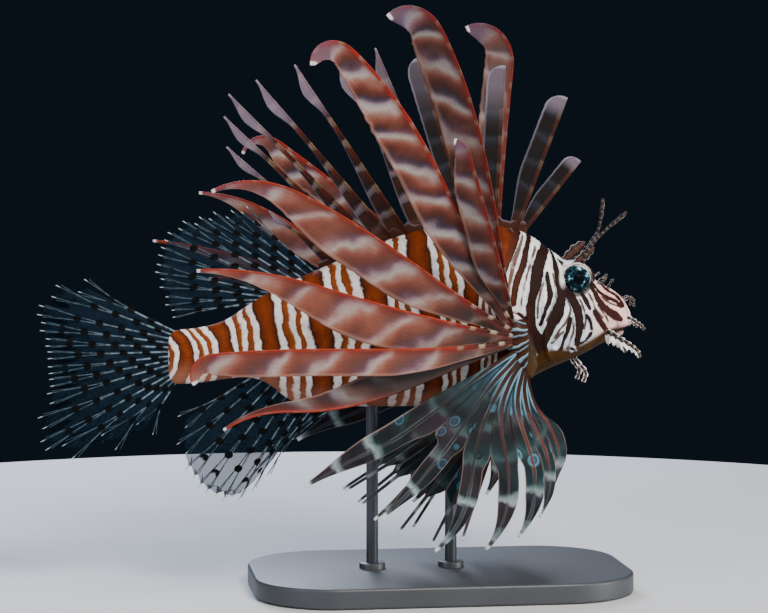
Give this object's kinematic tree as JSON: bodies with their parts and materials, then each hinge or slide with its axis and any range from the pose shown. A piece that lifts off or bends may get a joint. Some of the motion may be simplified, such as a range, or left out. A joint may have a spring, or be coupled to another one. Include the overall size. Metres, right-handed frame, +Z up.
{
  "type": "red lionfish model",
  "caption": "Life-size red lionfish swimming with all its fins spread, held by short rods on a flat display base.",
  "frame": {"origin": "centre of the underside of the display base", "axes": "+X towards the fish's snout, +Y towards its left side, +Z up"},
  "size_m": [0.3045, 0.1991, 0.2876],
  "materials": {
    "skin": "satin skin, brown bars on white",
    "spine": "banded red-brown spines with pale tips",
    "blade": "salmon rays with grey bands",
    "clear_fin": "clear membrane with pale rays and dark spots",
    "eye": "wet, dark blue-green",
    "stand_base": "satin dark grey",
    "stand_rod": "brushed"
  },
  "bodies": {
    "root": {"head": "skin", "lower_jaw": "skin", "trunk": "skin", "tail_stem": "skin", "eye_right": "eye", "eye_left": "eye", "tentacle_right": "spine", "tentacle_left": "spine", "spiny_dorsal_front": "spine", "spiny_dorsal_rear": "spine", "soft_dorsal_fin": "clear_fin", "anal_fin": "clear_fin", "caudal_fin": "clear_fin", "pectoral_right_upper": "blade", "pectoral_right_middle": "blade", "pectoral_right_lower": "blade", "pectoral_left_upper": "blade", "pectoral_left_middle": "blade", "pectoral_left_lower": "blade", "pelvic_fin_right": "clear_fin", "pelvic_fin_left": "clear_fin", "stand_base": "stand_base", "stand_rod_front": "stand_rod", "stand_rod_rear": "stand_rod"}
  },
  "joints": []
}
